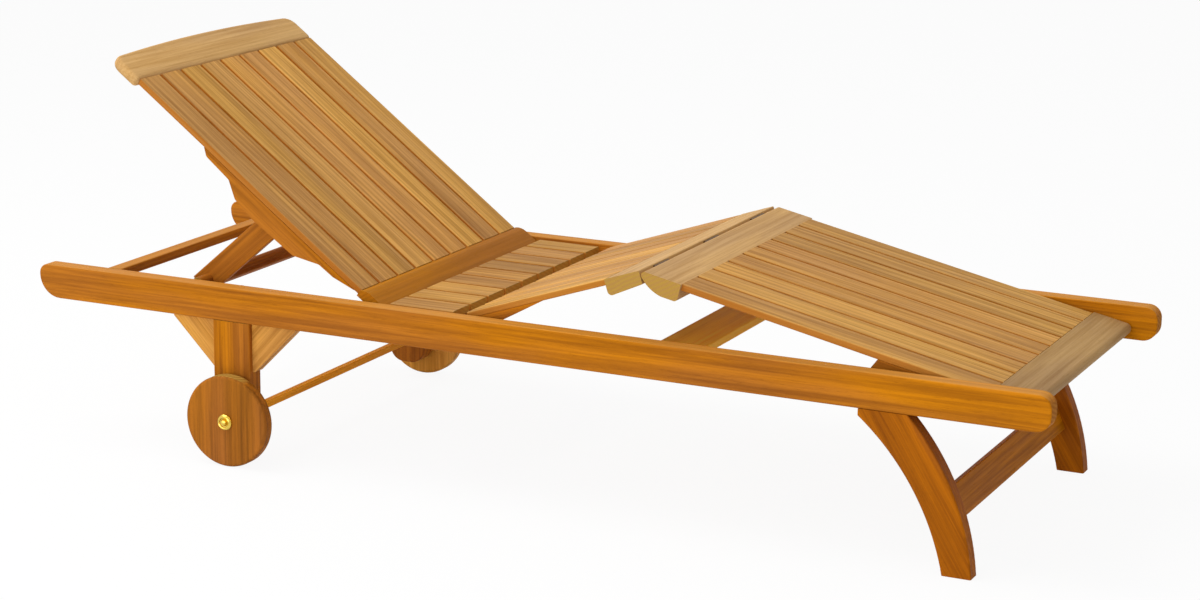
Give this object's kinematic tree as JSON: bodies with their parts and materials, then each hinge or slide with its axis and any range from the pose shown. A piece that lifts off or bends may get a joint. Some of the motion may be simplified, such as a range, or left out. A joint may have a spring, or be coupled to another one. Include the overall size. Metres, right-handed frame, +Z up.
{
  "type": "chaise lounger",
  "caption": "Slatted teak sun lounger with a reclining back on a notched prop, a folding knee section, sabre legs at the foot and wheels at the head.",
  "frame": {"origin": "centre of the footprint, on the ground", "axes": "+X along the lounger towards the foot end, +Y across towards the lounger's left side as one sits on it, +Z up"},
  "size_m": [2, 0.7958, 0.7455],
  "materials": {
    "brass": "satin",
    "frame_teak": "oiled, satin",
    "panel_teak": "oiled, satin",
    "slat_teak": "oiled, fine straight grain",
    "steel": "brushed",
    "wheel_teak": "oiled, satin"
  },
  "bodies": {
    "frame": {"axle_bar": "frame_teak", "axle_spacers": "steel", "axle_washers": "brass", "back_pivot_pins": "steel", "cap_nuts": "brass", "foot_crossbar": "frame_teak", "gusset_foot_left": "frame_teak", "gusset_foot_right": "frame_teak", "gusset_head_left": "frame_teak", "gusset_head_right": "frame_teak", "head_crossbar": "frame_teak", "knee_crossbar": "frame_teak", "leg_stretcher": "frame_teak", "prop_rack_left": "frame_teak", "prop_rack_right": "frame_teak", "sabre_leg_left": "frame_teak", "sabre_leg_right": "frame_teak", "seat_front_crossrail": "frame_teak", "seat_rear_crossrail": "frame_teak", "seat_slats": "slat_teak", "side_rail_left": "frame_teak", "side_rail_right": "frame_teak", "thigh_pivot_pins": "steel", "wheel_axle": "steel", "wheel_post_left": "frame_teak", "wheel_post_right": "frame_teak"},
    "back": {"back_bottom_rail": "panel_teak", "back_lower_batten": "panel_teak", "back_slats": "slat_teak", "back_stile_left": "panel_teak", "back_stile_right": "panel_teak", "back_top_rail": "panel_teak", "back_upper_batten": "panel_teak", "prop_pivot_pins": "steel"},
    "prop": {"prop_foot_bar": "panel_teak", "prop_strut_left": "panel_teak", "prop_strut_right": "panel_teak"},
    "thigh": {"knee_hinge_leaves_thigh": "brass", "knee_hinge_pins": "brass", "thigh_batten": "panel_teak", "thigh_knee_rail": "panel_teak", "thigh_slats": "slat_teak", "thigh_stile_left": "panel_teak", "thigh_stile_right": "panel_teak"},
    "calf": {"calf_batten": "panel_teak", "calf_foot_batten": "panel_teak", "calf_foot_rail": "panel_teak", "calf_knee_rail": "panel_teak", "calf_slats": "slat_teak", "knee_hinge_leaves_calf": "brass", "runner_stile_left": "panel_teak", "runner_stile_right": "panel_teak"},
    "wheel_right": {"wheel_bush_right": "brass", "wheel_right": "wheel_teak"},
    "wheel_left": {"wheel_bush_left": "brass", "wheel_left": "wheel_teak"}
  },
  "joints": [
    {"name": "back_recline", "type": "hinge", "parent": "frame", "child": "back", "pos_m": [-0.2713, 0, 0.3153], "axis": [0, 1, 0], "range_deg": [-33.59, 13.5]},
    {"name": "prop_swing", "type": "hinge", "parent": "back", "child": "prop", "pos_m": [-0.51927, 0, 0.44928], "axis": [0, 1, 0], "range_deg": [-31.1, 77.3]},
    {"name": "knee_lift", "type": "hinge", "parent": "frame", "child": "thigh", "pos_m": [-0.1, 0, 0.312], "axis": [0, -1, 0], "range_deg": [-18.8, 4.2]},
    {"name": "calf_fold", "type": "hinge", "parent": "thigh", "child": "calf", "pos_m": [0.24671, 0, 0.44323], "axis": [0, -1, 0], "range_deg": [-6.9, 30.85]},
    {"name": "wheel_right_spin", "type": "hinge", "parent": "frame", "child": "wheel_right", "pos_m": [-0.56, -0.3745, 0.087], "axis": [0, 1, 0], "continuous": true},
    {"name": "wheel_left_spin", "type": "hinge", "parent": "frame", "child": "wheel_left", "pos_m": [-0.56, 0.3745, 0.087], "axis": [0, 1, 0], "continuous": true}
  ],
  "couplings": [
    {"joint": "prop_swing", "follows": "back_recline", "ratio": -2.2979},
    {"joint": "calf_fold", "follows": "knee_lift", "ratio": -1.6383}
  ]
}
